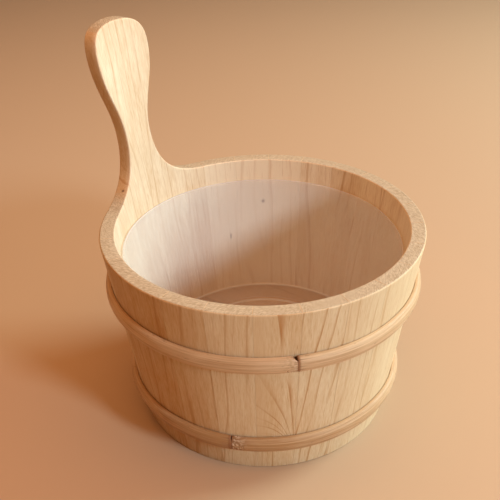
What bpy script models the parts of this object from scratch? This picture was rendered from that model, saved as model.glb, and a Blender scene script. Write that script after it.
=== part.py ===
"""Sauna bucket: a coned wall of staves, two of them drawn up into a handle, with two rattan hoops.

The wall is turned as one ring and split into staves by radial wedges. The handle staves come from a
taller ring on the same cone, cut by the handle's outline before it is split. The bottom boards sit in
a groove inside the wall, and a loose plastic liner stands on them.
"""

import math

import bmesh
import bpy
from mathutils import Matrix, Vector

# Driving dimensions, in metres. The bucket stands on z = 0, with its handle on the +Y side.
GAP = 0.0003

RIM_RADIUS = 0.125
FOOT_RADIUS = 0.103
WALL_HEIGHT = 0.1585
WALL_THICKNESS = 0.0117
EDGE_ROUND = 0.0017
ROUND_STEPS = 2

STAVE_COUNT = 24
FACETS_PER_STAVE = 4

# Handle outline, seen along Y: half widths, and heights above the rim.
HANDLE_RISE = 0.137
HEAD_HALF_WIDTH = 0.0292
HEAD_RISE = 0.1140
NECK_HALF_WIDTH = 0.0143
NECK_RISE = 0.0472
TAIL_HALF_WIDTH = 0.0565
# How far each curve reaches along its tangent.
CROWN_REACH = 0.0246
HEAD_REACH_UP = 0.0136
HEAD_REACH_DOWN = 0.0275
NECK_REACH_UP = 0.0253
NECK_REACH_DOWN = 0.0255
TAIL_REACH = 0.0310
OUTLINE_STEPS = 8

# Bottom boards, in their groove.
BOTTOM_UNDERSIDE = 0.0250
BOTTOM_THICKNESS = 0.0110
GROOVE_DEPTH = 0.0040
BOARD_NAMES = ("left", "middle", "right")

# Half-round hoops: the height of each one's middle and the bearing of its butt joint about Z. A
# flatness of 1 is half an ellipse, and less makes the face flatter.
HOOP_WIDTH = 0.0136
HOOP_PROUD = 0.0055
HOOP_FLATNESS = 0.75
HOOP_ARC_STEPS = 8
HOOP_BUTT_GAP = 0.0006
HOOPS = {
    "upper": (0.1140, math.radians(-136.1)),
    "lower": (0.0300, math.radians(-159.6)),
}

# One pin through each hoop end, into the wall.
PIN_RADIUS = 0.0008
PIN_FROM_BUTT = 0.0050
PIN_DEPTH_IN_WALL = 0.0045
PIN_SUNK = 0.0002
PIN_SIDES = 12

LINER_TOP = 0.1408
LINER_TOP_RADIUS = 0.1094
LINER_THICKNESS = 0.0012
LINER_CORNER_ROUND = 0.0035
LINER_LIP_ROUND = 0.0004
LINER_RING_INNER = 0.0660
LINER_RING_OUTER = 0.0720
LINER_RING_RISE = 0.0012
LINER_RING_SIDE = 0.0012

# Finishes: colour, roughness, metallic and transmission.
STAVE_WOOD = ((0.72, 0.52, 0.31), 0.55, 0.0, 0.0)
BOTTOM_WOOD = ((0.66, 0.47, 0.28), 0.60, 0.0, 0.0)
RATTAN = ((0.60, 0.38, 0.23), 0.45, 0.0, 0.0)
PIN_STEEL = ((0.30, 0.28, 0.26), 0.40, 1.0, 0.0)
MILKY_PLASTIC = ((0.85, 0.80, 0.75), 0.35, 0.0, 0.6)
# The staves' shades follow a wave: its height, and its step from one stave to the next.
SHADE_SPREAD = 0.05
SHADE_STEP = 2.4

STAVE_ANGLE = 2 * math.pi / STAVE_COUNT
FACETS = STAVE_COUNT * FACETS_PER_STAVE
HALF_FACET = math.pi / FACETS
WALL_SLOPE = (RIM_RADIUS - FOOT_RADIUS) / WALL_HEIGHT
WALL_LEAN = math.atan(WALL_SLOPE)
HANDLE_TOP = WALL_HEIGHT + HANDLE_RISE
HANDLE_REACH = RIM_RADIUS + WALL_SLOPE * HANDLE_RISE
HANDLE_BEARING = math.pi / 2
# The frame's origin is under the middle of the whole outline, so the bucket's own axis is off it.
AXIS_Y = (RIM_RADIUS - HANDLE_REACH) / 2
# Cutters reach this far past what they cut.
CUTTER_MARGIN = 0.010
WELD_DISTANCE = 0.000001
# Edges sharper than these are shaded sharp, and rounded on the handle.
SMOOTH_ANGLE = math.radians(30)
ROUNDED_ANGLE = math.radians(45)

for leftover in list(bpy.data.objects):
    bpy.data.objects.remove(leftover)


def new_collection(name):
    collection = bpy.data.collections.new(name)
    bpy.context.scene.collection.children.link(collection)
    return collection


parts = new_collection("sauna_bucket")
cutters = new_collection("cutters")
axis = bpy.data.objects.new("bucket_axis", None)
axis.location.y = AXIS_Y
parts.objects.link(axis)


def outer_radius(z):
    return FOOT_RADIUS + WALL_SLOPE * z


def inner_radius(z):
    return outer_radius(z) - WALL_THICKNESS


def rounded(corners):
    """Outline through (r, z, radius) corners, with an arc wherever the radius isn't 0."""
    points = []
    for i, (r, z, radius) in enumerate(corners):
        corner = Vector((r, z))
        if radius == 0:
            points.append(corner)
            continue
        back = (Vector(corners[i - 1][:2]) - corner).normalized()
        ahead = (Vector(corners[(i + 1) % len(corners)][:2]) - corner).normalized()
        half = back.angle(ahead) / 2
        centre = corner + (back + ahead).normalized() * (radius / math.sin(half))
        start = corner + back * (radius / math.tan(half)) - centre
        sweep = start.angle_signed(corner + ahead * (radius / math.tan(half)) - centre)
        for step in range(ROUND_STEPS + 1):
            # angle_signed counts clockwise, and a 2D rotation counts the other way.
            points.append(centre + Matrix.Rotation(-sweep * step / ROUND_STEPS, 2) @ start)
    return points


def baked(source):
    """The evaluated shape of an object as a mesh in world space. The object is removed."""
    bpy.context.view_layer.update()
    evaluated = source.evaluated_get(bpy.context.evaluated_depsgraph_get())
    mesh = bpy.data.meshes.new_from_object(evaluated)
    mesh.transform(source.matrix_world)
    bpy.data.objects.remove(source)
    bm = bmesh.new()
    bm.from_mesh(mesh)
    bmesh.ops.remove_doubles(bm, verts=bm.verts, dist=WELD_DISTANCE)
    bm.to_mesh(mesh)
    bm.free()
    return mesh


def turned(name, profile, closed=True):
    """A profile of (r, z) points turned about Z, with a facet's middle on every stave joint."""
    count = len(profile)
    edges = [(i, (i + 1) % count) for i in range(count if closed else count - 1)]
    mesh = bpy.data.meshes.new(name)
    mesh.from_pydata([(r, 0, z) for r, z in profile], edges, [])
    ring = bpy.data.objects.new(name, mesh)
    cutters.objects.link(ring)
    ring.rotation_euler.z = HALF_FACET
    screw = ring.modifiers.new("turn", "SCREW")
    screw.steps = FACETS
    screw.render_steps = FACETS
    screw.use_merge_vertices = True
    screw.merge_threshold = WELD_DISTANCE
    return baked(ring)


def extruded(name, spline_type, fill_spline, half_depth, rotation=(0, 0, 0), location=(0, 0, 0)):
    """A flat outline, drawn by fill_spline on a new spline, given a thickness."""
    curve = bpy.data.curves.new(name, "CURVE")
    curve.dimensions = "2D"
    curve.fill_mode = "BOTH"
    curve.extrude = half_depth
    fill_spline(curve.splines.new(spline_type))
    outline = bpy.data.objects.new(name, curve)
    cutters.objects.link(outline)
    outline.rotation_euler = rotation
    outline.location = location
    return baked(outline)


def box(name, low, high):
    bm = bmesh.new()
    bmesh.ops.create_cube(bm, size=1.0)
    bmesh.ops.scale(bm, verts=bm.verts, vec=Vector(high) - Vector(low))
    bmesh.ops.translate(bm, verts=bm.verts, vec=(Vector(high) + Vector(low)) / 2)
    mesh = bpy.data.meshes.new(name)
    bm.to_mesh(mesh)
    bm.free()
    return mesh


def cutter(name, mesh, parent=None):
    tool = bpy.data.objects.new(name, mesh)
    cutters.objects.link(tool)
    tool.parent = parent
    tool.hide_render = True
    tool.display_type = "WIRE"
    return tool


def cut(target, tool, operation="DIFFERENCE"):
    boolean = target.modifiers.new(tool.name, "BOOLEAN")
    boolean.operation = operation
    boolean.solver = "EXACT"
    boolean.object = tool


def common(mesh, tool_mesh, name):
    """The mesh that two closed meshes share."""
    blank = bpy.data.objects.new(name, mesh.copy())
    cutters.objects.link(blank)
    cut(blank, cutter(name + "_cutter", tool_mesh), "INTERSECT")
    return baked(blank)


def mirrored(mesh):
    copy = mesh.copy()
    copy.transform(Matrix.Scale(-1, 4, (1, 0, 0)))
    copy.flip_normals()
    return copy


def material(name, finish, shade=1.0):
    colour, roughness, metallic, transmission = finish
    made = bpy.data.materials.new(name)
    made.use_nodes = True
    shader = made.node_tree.nodes["Principled BSDF"]
    shader.inputs["Base Color"].default_value = (*(shade * channel for channel in colour), 1.0)
    shader.inputs["Roughness"].default_value = roughness
    shader.inputs["Metallic"].default_value = metallic
    shader.inputs["Transmission Weight"].default_value = transmission
    return made


def wood(name, index):
    """The staves' wood, a little lighter or darker from piece to piece."""
    return material(name, STAVE_WOOD, 1 + SHADE_SPREAD * math.sin(SHADE_STEP * index))


def piece(name, mesh, surface, turn=0.0, parent=axis):
    """A finished part on the bucket's axis, turned about it."""
    body = bpy.data.objects.new(name, mesh)
    parts.objects.link(body)
    body.parent = parent
    body.rotation_euler.z = turn
    mesh.name = name
    mesh.materials.clear()
    mesh.materials.append(surface)
    mesh.shade_smooth()
    mesh.set_sharp_from_angle(angle=SMOOTH_ANGLE)
    return body


def wall_profile(top, top_round):
    """Section of the wall: the outer cone, the foot, the groove for the bottom and the inner cone."""
    groove_low = BOTTOM_UNDERSIDE - GAP
    groove_high = BOTTOM_UNDERSIDE + BOTTOM_THICKNESS + GAP
    groove_radius = inner_radius(BOTTOM_UNDERSIDE) + GROOVE_DEPTH
    return rounded([
        (outer_radius(top), top, top_round),
        (outer_radius(0), 0, EDGE_ROUND),
        (inner_radius(0), 0, EDGE_ROUND),
        (inner_radius(groove_low), groove_low, 0),
        (groove_radius, groove_low, 0),
        (groove_radius, groove_high, 0),
        (inner_radius(groove_high), groove_high, 0),
        (inner_radius(top), top, top_round),
    ])


def wedge(name, bearing):
    """A sector as wide as one stave, drawn back from both joints by half a gap."""
    reach = HANDLE_REACH + 2 * CUTTER_MARGIN
    half = STAVE_ANGLE / 2
    tip = GAP / 2 / math.sin(half)

    def fill(spline):
        spline.points.add(2)
        for point, angle in zip(spline.points[1:], (bearing - half, bearing + half)):
            x = tip * math.cos(bearing) + reach * math.cos(angle)
            y = tip * math.sin(bearing) + reach * math.sin(angle)
            point.co = (x, y, 0, 1)
        spline.points[0].co = (tip * math.cos(bearing), tip * math.sin(bearing), 0, 1)
        spline.use_cyclic_u = True

    middle = HANDLE_TOP / 2
    return extruded(name, "POLY", fill, middle + CUTTER_MARGIN, location=(0, 0, middle))


def draw_handle_outline(spline):
    """The handle and the wall under it: straight sides, a curve up to the neck, then the head.

    Each knot has its place and its reach towards the knots before and after it, or None where the
    outline runs straight.
    """
    side = TAIL_HALF_WIDTH + 2 * CUTTER_MARGIN
    right = [
        ((side, -CUTTER_MARGIN), None, None),
        ((side, WALL_HEIGHT), None, None),
        ((TAIL_HALF_WIDTH, WALL_HEIGHT), None, (-TAIL_REACH, 0)),
        ((NECK_HALF_WIDTH, WALL_HEIGHT + NECK_RISE), (0, -NECK_REACH_DOWN), (0, NECK_REACH_UP)),
        ((HEAD_HALF_WIDTH, WALL_HEIGHT + HEAD_RISE), (0, -HEAD_REACH_DOWN), (0, HEAD_REACH_UP)),
    ]
    crown = [((0, HANDLE_TOP), (CROWN_REACH, 0), (-CROWN_REACH, 0))]

    def flipped(vector):
        return vector and (-vector[0], vector[1])

    left = [(flipped(at), flipped(after), flipped(before)) for at, before, after in reversed(right)]
    knots = right + crown + left
    spline.bezier_points.add(len(knots) - 1)
    spline.resolution_u = OUTLINE_STEPS
    spline.use_cyclic_u = True
    for point, (at, before, after) in zip(spline.bezier_points, knots):
        point.co = (*at, 0)
        point.handle_left_type = "FREE" if before else "VECTOR"
        point.handle_right_type = "FREE" if after else "VECTOR"
        if before:
            point.handle_left = (at[0] + before[0], at[1] + before[1], 0)
        if after:
            point.handle_right = (at[0] + after[0], at[1] + after[1], 0)


def handle_blank():
    """A tall piece of the cone in the handle's outline, with its edges rounded above the rim."""
    tall = turned("tall_wall", wall_profile(HANDLE_TOP + CUTTER_MARGIN, 0))
    # The outline starts well inside the wall and never meets its far side.
    near = RIM_RADIUS / 2 - CUTTER_MARGIN
    far = HANDLE_REACH + CUTTER_MARGIN
    outline = extruded(
        "handle_outline", "BEZIER", draw_handle_outline, (far - near) / 2,
        rotation=(math.pi / 2, 0, 0), location=(0, (far + near) / 2, 0),
    )
    blank = common(tall, outline, "handle_blank")
    bm = bmesh.new()
    bm.from_mesh(blank)
    level = WALL_HEIGHT - GAP
    edges = [
        edge for edge in bm.edges
        if min(vert.co.z for vert in edge.verts) > level
        and edge.calc_face_angle() > ROUNDED_ANGLE
    ]
    bmesh.ops.bevel(
        bm, geom=edges, offset=EDGE_ROUND, offset_type="OFFSET", segments=ROUND_STEPS,
        profile=0.5, affect="EDGES", clamp_overlap=True,
    )
    bm.to_mesh(blank)
    bm.free()
    return blank


def make_staves():
    """The wall, as a dictionary from each stave's bearing to its object."""
    staves = {}
    blank = handle_blank()
    drawn = ("handle_stave", "shoulder_stave")
    for index, kind in enumerate(drawn):
        bearing = HANDLE_BEARING - (index + 0.5) * STAVE_ANGLE
        right = common(blank, wedge(kind + "_wedge", bearing), kind)
        sides = {"right": (right, bearing), "left": (mirrored(right), math.pi - bearing)}
        for side, (mesh, side_bearing) in sides.items():
            name = f"{kind}_{side}"
            staves[side_bearing] = piece(name, mesh, wood(name, len(staves)))
    ring = turned("wall", wall_profile(WALL_HEIGHT, EDGE_ROUND))
    plain = common(ring, wedge("stave_wedge", 0), "stave")
    for index in range(STAVE_COUNT - len(staves)):
        bearing = HANDLE_BEARING + (len(drawn) + index + 0.5) * STAVE_ANGLE
        name = f"stave_{index + 1:02d}"
        staves[bearing] = piece(name, plain.copy(), wood(name, len(staves)), turn=bearing)
    return staves


def nearest_stave(staves, bearing):
    def turn_between(other):
        return abs((other - bearing + math.pi) % (2 * math.pi) - math.pi)

    return staves[min(staves, key=turn_between)]


def hoop_centre(height):
    """Middle of a hoop's flat back in (r, z), with the wall's outward and upward directions."""
    outward = Vector((math.cos(WALL_LEAN), -math.sin(WALL_LEAN)))
    upward = Vector((math.sin(WALL_LEAN), math.cos(WALL_LEAN)))
    return Vector((outer_radius(height), height)) + outward * GAP, outward, upward


def hoop_mesh(name, height):
    centre, outward, upward = hoop_centre(height)
    profile = []
    for step in range(HOOP_ARC_STEPS + 1):
        angle = math.pi * step / HOOP_ARC_STEPS
        along = upward * (HOOP_WIDTH / 2 * math.cos(angle))
        profile.append(centre + along + outward * (HOOP_PROUD * math.sin(angle) ** HOOP_FLATNESS))
    return turned(name, profile)


def rod(radius, low, high, height, bearing):
    """A straight rod across the wall at one height, from low to high along the wall's normal."""
    centre, _, _ = hoop_centre(height)
    bm = bmesh.new()
    bmesh.ops.create_cone(
        bm, cap_ends=True, segments=PIN_SIDES, radius1=radius, radius2=radius, depth=high - low,
    )
    bmesh.ops.translate(bm, verts=bm.verts, vec=(0, 0, (low + high) / 2))
    mesh = bpy.data.meshes.new("rod")
    bm.to_mesh(mesh)
    bm.free()
    mesh.transform(Matrix.Rotation(math.pi / 2 + WALL_LEAN, 4, "Y"))
    mesh.transform(Matrix.Translation((centre.x, 0, centre.y)))
    mesh.transform(Matrix.Rotation(bearing, 4, "Z"))
    return mesh


def make_pin(name, hoop, stave, height, bearing):
    """A pin from a hoop's face into the stave behind it, with the hole that it sits in."""
    low = -PIN_DEPTH_IN_WALL
    high = HOOP_PROUD - PIN_SUNK
    piece(name, rod(PIN_RADIUS, low, high, height, bearing), material(name, PIN_STEEL))
    hole = rod(PIN_RADIUS + GAP, low - GAP, HOOP_PROUD + CUTTER_MARGIN, height, bearing)
    drill = cutter(name + "_hole", hole, axis)
    cut(hoop, drill)
    cut(stave, drill)


def make_hoops(staves):
    """Each hoop with the slit where its ends meet and a pin beside it on either hand."""
    for side, (height, butt) in HOOPS.items():
        name = f"{side}_hoop"
        radius = hoop_centre(height)[0].x
        hoop = piece(name, hoop_mesh(name, height), material(name, RATTAN))
        slit = box(
            name + "_butt",
            (radius - HOOP_WIDTH, -HOOP_BUTT_GAP / 2, height - HOOP_WIDTH),
            (radius + HOOP_WIDTH, HOOP_BUTT_GAP / 2, height + HOOP_WIDTH),
        )
        slit.transform(Matrix.Rotation(butt, 4, "Z"))
        cut(hoop, cutter(name + "_butt", slit, axis))
        for end, sign in (("left", -1), ("right", 1)):
            bearing = butt + sign * PIN_FROM_BUTT / radius
            stave = nearest_stave(staves, bearing)
            make_pin(f"{name}_pin_{end}", hoop, stave, height, bearing)


def make_bottom():
    """Boards side by side across a disc."""
    radius = inner_radius(BOTTOM_UNDERSIDE) + GROOVE_DEPTH - GAP
    top = BOTTOM_UNDERSIDE + BOTTOM_THICKNESS
    profile = [(0, top), (radius, top), (radius, BOTTOM_UNDERSIDE), (0, BOTTOM_UNDERSIDE)]
    disc = turned("bottom", profile, closed=False)
    board_width = 2 * radius / len(BOARD_NAMES)
    for index, side in enumerate(BOARD_NAMES):
        name = f"bottom_board_{side}"
        low = -radius + index * board_width + GAP / 2
        high = low + board_width - GAP
        # The outer boards keep the disc's round edge.
        if index == 0:
            low -= CUTTER_MARGIN
        if index == len(BOARD_NAMES) - 1:
            high += CUTTER_MARGIN
        strip = box(
            name + "_strip",
            (low, -radius - CUTTER_MARGIN, BOTTOM_UNDERSIDE - CUTTER_MARGIN),
            (high, radius + CUTTER_MARGIN, top + CUTTER_MARGIN),
        )
        piece(name, common(disc, strip, name), material(name, BOTTOM_WOOD))


def make_liner():
    """A coned cup with a raised ring in its floor, on an empty that it lifts out along."""
    base = BOTTOM_UNDERSIDE + BOTTOM_THICKNESS + GAP
    floor = base + LINER_THICKNESS
    crest = floor + LINER_RING_RISE

    def side_radius(z):
        return LINER_TOP_RADIUS - WALL_SLOPE * (LINER_TOP - z)

    profile = rounded([
        (0, floor, 0),
        (LINER_RING_INNER, floor, 0),
        (LINER_RING_INNER + LINER_RING_SIDE, crest, 0),
        (LINER_RING_OUTER - LINER_RING_SIDE, crest, 0),
        (LINER_RING_OUTER, floor, 0),
        (side_radius(floor) - LINER_THICKNESS, floor, LINER_CORNER_ROUND - LINER_THICKNESS),
        (LINER_TOP_RADIUS - LINER_THICKNESS, LINER_TOP, LINER_LIP_ROUND),
        (LINER_TOP_RADIUS, LINER_TOP, LINER_LIP_ROUND),
        (side_radius(base), base, LINER_CORNER_ROUND),
        (0, base, 0),
    ])
    lift = bpy.data.objects.new("liner_lift", None)
    parts.objects.link(lift)
    lift.parent = axis
    cup = turned("liner", profile, closed=False)
    piece("liner", cup, material("liner", MILKY_PLASTIC), parent=lift)


make_hoops(make_staves())
make_bottom()
make_liner()
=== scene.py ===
"""The sauna bucket's looks: pale staves with their grain, rattan hoops and a milky liner."""

import math
import random

import bmesh
import bpy
import numpy as np
from mathutils import Matrix, Vector


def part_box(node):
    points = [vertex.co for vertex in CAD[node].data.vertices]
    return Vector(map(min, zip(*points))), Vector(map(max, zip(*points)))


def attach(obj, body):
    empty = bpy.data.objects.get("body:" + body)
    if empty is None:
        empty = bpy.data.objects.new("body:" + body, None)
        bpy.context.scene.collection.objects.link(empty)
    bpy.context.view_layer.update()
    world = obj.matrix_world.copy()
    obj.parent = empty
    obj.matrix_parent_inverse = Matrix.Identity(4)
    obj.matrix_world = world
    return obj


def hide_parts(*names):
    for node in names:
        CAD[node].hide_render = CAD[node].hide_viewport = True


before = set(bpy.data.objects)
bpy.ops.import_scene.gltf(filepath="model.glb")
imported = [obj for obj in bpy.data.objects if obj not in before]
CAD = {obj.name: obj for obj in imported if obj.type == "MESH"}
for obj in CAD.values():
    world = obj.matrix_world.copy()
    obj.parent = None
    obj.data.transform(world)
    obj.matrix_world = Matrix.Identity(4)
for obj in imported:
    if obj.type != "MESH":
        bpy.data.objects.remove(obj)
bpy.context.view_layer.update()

# The photograph's camera, about the bucket's axis. Lengths in metres, bearings from +X towards +Y.
CAMERA_BEARING = math.radians(-146.7)
CAMERA_RANGE = 0.5216
CAMERA_HEIGHT = 0.4473
CAMERA_YAW = math.radians(1.08)
CAMERA_PITCH = math.radians(31.15)
CAMERA_ROLL = math.radians(-1.45)
CAMERA_LENS = 55.45

# Soft boxes about the rim's centre: bearing and elevation in degrees, distance and diameter in
# metres, power in watts, colour. The key comes over the rim from opposite the handle.
SOFT_BOXES = {
    "key": (-97.7, 23, 2.2, 0.40, 30.5, (0.67, 0.86, 1.0)),
    "side": (-36.7, 25, 2.0, 0.90, 36.0, (0.74, 1.0, 1.0)),
    "top": (0, 90, 1.5, 2.6, 29.5, (1.0, 0.485, 0.21)),
}
AMBIENT_COLOUR = (1.0, 0.60, 0.35)
AMBIENT_STRENGTH = 0.03
# The floor is a disc that curves up into a round backdrop.
FLOOR_RADIUS = 3.0
SWEEP_RADIUS = 1.0
BACKDROP_HEIGHT = 3.0
SWEEP_STEPS = 12
BACKDROP_STEPS = 96
FLOOR_COLOUR = (0.60, 0.41, 0.26)
FLOOR_ROUGHNESS = 0.8

# Points nearer than this are one point, and points this near a cut lie on it.
MERGE_DISTANCE = 1e-6
CUT_DISTANCE = 1e-7
# Edges bent more than this are shaded as sharp ones.
SHARP_ANGLE = math.radians(35)

# Wall and handle. A stave's corners lie within END_ZONE of its ends.
END_ZONE = 0.01
STAVE_COUNT = 24
STAVE_ANGLE = 2 * math.pi / STAVE_COUNT
STAVE_STEPS = 8
STAVE_ROWS = 24
EDGE_ROUND = 0.0012
EDGE_STEPS = 5
JOINT_GAP = 0.00006
JOINT_CHAMFER = 0.00012
HANDLE_JOINT_GAP = 0.00002
HANDLE_JOINT_CHAMFER = 0.00003
# The handle's outline: half widths, heights above the rim, and how far the curve's reaches go.
HANDLE_RISE = 0.137
HEAD_HALF_WIDTH = 0.0292
HEAD_RISE = 0.1140
NECK_HALF_WIDTH = 0.0143
NECK_RISE = 0.0472
TAIL_HALF_WIDTH = 0.0565
CROWN_REACH = 0.0246
HEAD_REACH_UP = 0.0136
HEAD_REACH_DOWN = 0.0275
NECK_REACH_UP = 0.0253
NECK_REACH_DOWN = 0.0255
TAIL_REACH = 0.0310
OUTLINE_STEPS = 24
# The slab that four staves are sawn from is this much wider than they are on each side.
SLAB_ALLOWANCE = 0.01
STRIP_WIDTH = 0.0025

# Hoops. The section runs HOOP_TUCK round from its crown on each side, so that its edges are tucked
# in, and its back edges lie HOOP_OPEN off the wall. Waves make its width swell and its place wander.
HOOP_STEPS = 150
HOOP_ARC_STEPS = 30
HOOP_TUCK = math.radians(128)
HOOP_FLATNESS = 0.75
HOOP_LIFT = 0.0006
HOOP_OPEN = 0.00012
HOOP_FINE_LENGTH = 0.016
HOOP_FINE_STEPS = 64
HOOP_SWELL = 0.025
HOOP_WANDER = 0.0005
HOOP_WAVES = 3
HOOP_WAVE_COUNTS = (2, 9)
# The butted ends: the gap, its ragged waves across the width, and how the ends are narrowed and
# rounded. HOOP_FADE is how far behind an end its cut still bends the hoop, and HOOP_FRAY how far
# its fibres are torn.
HOOP_BUTT_GAP = 0.00012
HOOP_RAGGED = 0.00003
RAGGED_WAVES = (5.0, 13.0)
RAGGED_SHIFT = 2.0
HOOP_END_ROUND = 0.0012
HOOP_END_SQUEEZE = 0.04
HOOP_END_CROWN = 0.0001
HOOP_END_TAPER = 0.2
HOOP_FADE = 0.0040
HOOP_FRAY = 0.0120
# Damage at a hoop's ends, keyed by hoop and end (1 is the last). A chip has its place across the
# width, from -1 at the bottom to 1 at the top, its reach across and its depth. A nick has its
# distance from the end, its lowest and highest place across, and its depth.
HOOP_CHIPS = {("upper_hoop", 1): (1.0, 0.25, 0.0028), ("lower_hoop", 1): (0.95, 0.2, 0.0012)}
# Eleven small nicks, each with its lower end at another place across the width.
SMALL_NICK_LOWS = [0.13 * (step * 5 % 11) - 0.85 for step in range(11)]
HOOP_NICKS = {
    ("upper_hoop", 1): (
        (0.0030, -0.97, -0.45, 0.0009), (0.0048, -0.97, -0.55, 0.0009),
        (0.0066, -0.97, -0.35, 0.0007),
    ),
    ("lower_hoop", 0): tuple(
        (0.0015 + 0.0007 * step, low, low + 0.35, 0.0006)
        for step, low in enumerate(SMALL_NICK_LOWS)
    ),
}
NICK_HALF_WIDTH = 0.0006
NICK_SLANT = 0.0010
# A cut is painted darkest, as shade in it, where it is this deep.
GOUGE_SHADE_DEPTH = 0.0009
# A splinter lost from a hoop's face behind its end: from, to, the place across it reaches down to,
# and depth.
HOOP_SPLINTERS = {("lower_hoop", 0): (0.0005, 0.0170, 0.30, 0.0006)}
# Length stained dark from each end, how flaky the skin is behind an end, and how dark the side with
# the butt is.
HOOP_BURNS = {
    ("upper_hoop", 0): 0.0024, ("upper_hoop", 1): 0.0010,
    ("lower_hoop", 0): 0.0014, ("lower_hoop", 1): 0.0034,
}
HOOP_FLAKES = {("upper_hoop", 1): 0.5, ("lower_hoop", 0): 1.0}
# The lower hoop is darker on the side with its butt: partly a darker patch of its skin, partly
# painted shade.
HOOP_DARK_PATCH_AND_SHADE = {"upper_hoop": 0.0, "lower_hoop": 0.55}

# Liner, with the opacity of its materials, which are slots of one mesh in this order.
WALL_ALPHA = 0.23
EDGE_ALPHA = 0.31
# The floor is clearer than the wall so that more of the dark bottom boards shows through: painted
# shade at the bottom of the bucket.
FLOOR_ALPHA = 0.14
WALL_SLOT, EDGE_SLOT, FLOOR_SLOT = range(3)
LINER_STEPS = 192
LINER_THICKNESS = 0.0012
LINER_CORNER_ROUND = 0.0035
LINER_LIP_ROUND = 0.0005
LINER_RING_INNER = 0.0660
LINER_RING_OUTER = 0.0720
LINER_RING_RISE = 0.0012
LINER_RING_SIDE = 0.0012
# The least upright part of a face's normal, on the level floor and on the bends beside it.
FLOOR_UPRIGHT = 0.97
BEND_UPRIGHT = 0.6

# Planks with a figure of their own: the pith's place across and behind the face, its drift, the
# tone, from about -1 for pale to 2 for dark, and how strongly the grain shows. A stave whose grain
# fans out has no pith.
PLANKS = {
    # Staves 03 to 05, on the side turned from the lights, have dark tones that are partly painted
    # shade.
    "stave_03": ((0.040, 0.030), (0.02, 0.04), 1.8, 0.65),
    "stave_04": ((0.040, 0.030), (0.03, 0.05), 2.2, 0.75),
    "stave_05": ((0.030, 0.030), (0.02, 0.03), 1.3, 0.65),
    "stave_06": ((0.050, 0.020), (0.06, 0.03), -0.5, 0.65),
    "stave_07": (None, None, 0.3, 1.2),
    "stave_08": ((-0.034, 0.020), (0.14, 0.02), -0.8, 0.95),
    "stave_09": ((-0.050, 0.020), (0.03, 0.03), -0.8, 0.5),
    "stave_10": ((-0.050, 0.030), (0.02, 0.03), -0.9, 0.45),
    "stave_11": ((0.050, 0.030), (0.02, 0.03), -0.9, 0.45),
    "stave_12": ((-0.045, 0.035), (0.03, 0.02), -0.8, 0.5),
    "stave_15": ((0.040, 0.040), (0.03, 0.02), 0.6, 1.1),
    "stave_16": ((-0.035, 0.030), (-0.02, 0.03), 1.0, 1.1),
    "stave_17": ((0.035, 0.045), (0.04, 0.03), 0.5, 1.0),
    # Staves 18 to 20 have pale tones as painted light on the far inner wall.
    "stave_18": ((0.030, 0.040), (0.03, 0.02), -0.8, 0.6),
    "stave_19": ((-0.020, 0.050), (0.02, -0.03), -1.0, 0.55),
    "stave_20": ((0.045, 0.030), (-0.03, 0.04), -1.0, 0.55),
    "handle_stave_left": ((-0.050, 0.030), (0.05, 0.035), 1.6, 0.75),
    "handle_stave_right": ((0.050, 0.024), (-0.02, 0.03), 1.6, 0.75),
    "shoulder_stave_left": ((0.045, 0.035), (0.02, 0.03), 1.3, 0.6),
    "shoulder_stave_right": ((-0.040, 0.030), (0.03, 0.03), 1.2, 0.7),
}
# The same for a plank that is left to chance: lowest and highest of each.
PITH_ACROSS = (-0.05, 0.05)
PITH_BEHIND = (0.015, 0.06)
DRIFT_ACROSS = (-0.06, 0.06)
DRIFT_BEHIND = (-0.10, 0.10)
CHANCE_TONE = (-1, 1)
CHANCE_FIGURE = (0.6, 1.0)
# Each plank starts anywhere on this length of the noise.
NOISE_LENGTH = 30
# The bottom boards' pith lies this far under the bucket's foot, and their noise starts here.
BOARD_PITH = 0.06
BOARD_START = 3
BOARD_TONE = (-0.5, 1)

# Staves whose grain fans out upward from a point on a joint, and the side that joint is on. The
# lines bend over away from the joint and grow faint.
FANS = {"stave_07": 1}
FAN_FOOT = 0.024
FAN_NARROWEST = 0.002
FAN_BEND = 23.0
FAN_SPACING = 0.088
FAN_REACH = 0.029
FAN_FADE = 0.016
FAN_FAINTEST = 0.25
FAN_FINENESS = 3

# Small knots: place from the bucket's axis, radius, and how much taller than wide.
KNOTS = (
    ((0.0908, 0.0581, 0.1193), 0.0025, 1.0),
    ((0.0670, 0.0788, 0.0875), 0.0011, 4.0),
    ((-0.0296, 0.1152, 0.1667), 0.0018, 1.0),
)

# Wood's colours, which are linear, and what is left of the tan's channels in the ring lines and of
# the pale's on the outer faces, which are a little darker and yellower than the inner ones.
STAVE_PALE = (0.90, 0.70, 0.485)
STAVE_TAN = (0.58, 0.285, 0.085)
# The bottom boards' dark colours are partly painted shade on the bucket's floor, seen through the
# liner.
BOTTOM_PALE = (0.38, 0.23, 0.15)
BOTTOM_TAN = (0.24, 0.13, 0.07)
END_GRAIN_PALE = (0.66, 0.58, 0.44)
END_GRAIN_DARK = (0.36, 0.28, 0.19)
KNOT_COLOUR = (0.17, 0.075, 0.035)
LINE_SHARE = (0.84, 0.68, 0.48)
YELLOWED = (0.945, 0.945, 0.86)

# In the materials a noise has its scale per metre, its detail and its roughness. An amount is how
# far a noise moves a value. A ramp is where a value goes smoothly from none to all, or back. A tint
# is how much of a colour is laid on. A bump has its height in metres and its strength.
FIBRE_RAMP = (0.2, 0.8)
NOISE_RAMP = (0.3, 0.7)

# How much tan there is in a plank of tone 0, how much more for each step of tone, and how much less
# on the inner faces, which begin between two depths and have fainter ring lines. That paleness of
# the inner faces is painted light, standing in for the light that fills the bucket.
TONE_MIDDLE = 0.36
TONE_STEP = 0.14
INSIDE_PAINTED_LIGHT = 0.31
INSIDE_RAMP = (-0.006, -0.011)
INSIDE_LINES = 0.6
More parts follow.
